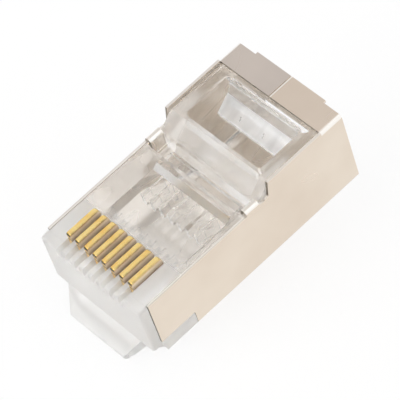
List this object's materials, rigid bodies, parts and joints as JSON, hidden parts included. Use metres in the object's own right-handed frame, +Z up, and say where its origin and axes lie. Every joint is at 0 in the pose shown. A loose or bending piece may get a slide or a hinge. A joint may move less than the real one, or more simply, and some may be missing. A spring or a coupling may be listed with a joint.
{
  "type": "shielded rj45 modular plug",
  "caption": "Shielded modular plug before crimping: clear body with gold blade contacts, folded plated shield, cable window with clamp bar, and a latch lever underneath.",
  "frame": {"origin": "centre of the bounding box at the surface the plug lies on", "axes": "+X across the plug to its right side seen from behind, +Y from the nose to the cable end, +Z up on the contact side; the plug lies on its latch, nose down by 13.5 degrees"},
  "size_m": [0.0116, 0.0228, 0.0143],
  "materials": {
    "clear_plastic": "clear polycarbonate, gloss",
    "plated_sheet": "bright nickel plate over brass sheet",
    "gold_plate": "gold plate over phosphor bronze"
  },
  "bodies": {
    "plug_body": {"housing": "clear_plastic", "shield": "plated_sheet"},
    "latch": {"latch_lever": "clear_plastic"},
    "cable_clamp": {"cable_clamp_bar": "clear_plastic"},
    "conductor_clamp": {"conductor_clamp_bar": "clear_plastic"},
    "blade_1": {"contact_1": "gold_plate"},
    "blade_2": {"contact_2": "gold_plate"},
    "blade_3": {"contact_3": "gold_plate"},
    "blade_4": {"contact_4": "gold_plate"},
    "blade_5": {"contact_5": "gold_plate"},
    "blade_6": {"contact_6": "gold_plate"},
    "blade_7": {"contact_7": "gold_plate"},
    "blade_8": {"contact_8": "gold_plate"}
  },
  "joints": [
    {"name": "latch_press", "type": "hinge", "parent": "plug_body", "child": "latch", "pos_m": [0, -0.01012, 0.00062], "axis": [1, 0, 0], "range_deg": [0, 12], "stiffness_Nm_per_rad": 0.2},
    {"name": "cable_clamp_set", "type": "hinge", "parent": "plug_body", "child": "cable_clamp", "pos_m": [0, 0.00685, 0.01304], "axis": [1, 0, 0], "range_deg": [0, 24]},
    {"name": "conductor_clamp_set", "type": "hinge", "parent": "plug_body", "child": "conductor_clamp", "pos_m": [0, -0.00005, 0.00856], "axis": [-1, 0, 0], "range_deg": [0, 20]},
    {"name": "contact_1_crimp", "type": "slide", "parent": "plug_body", "child": "blade_1", "axis": [0, 0.2334, -0.9724], "range_m": [0, 0.00115]},
    {"name": "contact_2_crimp", "type": "slide", "parent": "plug_body", "child": "blade_2", "axis": [0, 0.2334, -0.9724], "range_m": [0, 0.00115]},
    {"name": "contact_3_crimp", "type": "slide", "parent": "plug_body", "child": "blade_3", "axis": [0, 0.2334, -0.9724], "range_m": [0, 0.00115]},
    {"name": "contact_4_crimp", "type": "slide", "parent": "plug_body", "child": "blade_4", "axis": [0, 0.2334, -0.9724], "range_m": [0, 0.00115]},
    {"name": "contact_5_crimp", "type": "slide", "parent": "plug_body", "child": "blade_5", "axis": [0, 0.2334, -0.9724], "range_m": [0, 0.00115]},
    {"name": "contact_6_crimp", "type": "slide", "parent": "plug_body", "child": "blade_6", "axis": [0, 0.2334, -0.9724], "range_m": [0, 0.00115]},
    {"name": "contact_7_crimp", "type": "slide", "parent": "plug_body", "child": "blade_7", "axis": [0, 0.2334, -0.9724], "range_m": [0, 0.00115]},
    {"name": "contact_8_crimp", "type": "slide", "parent": "plug_body", "child": "blade_8", "axis": [0, 0.2334, -0.9724], "range_m": [0, 0.00115]}
  ]
}
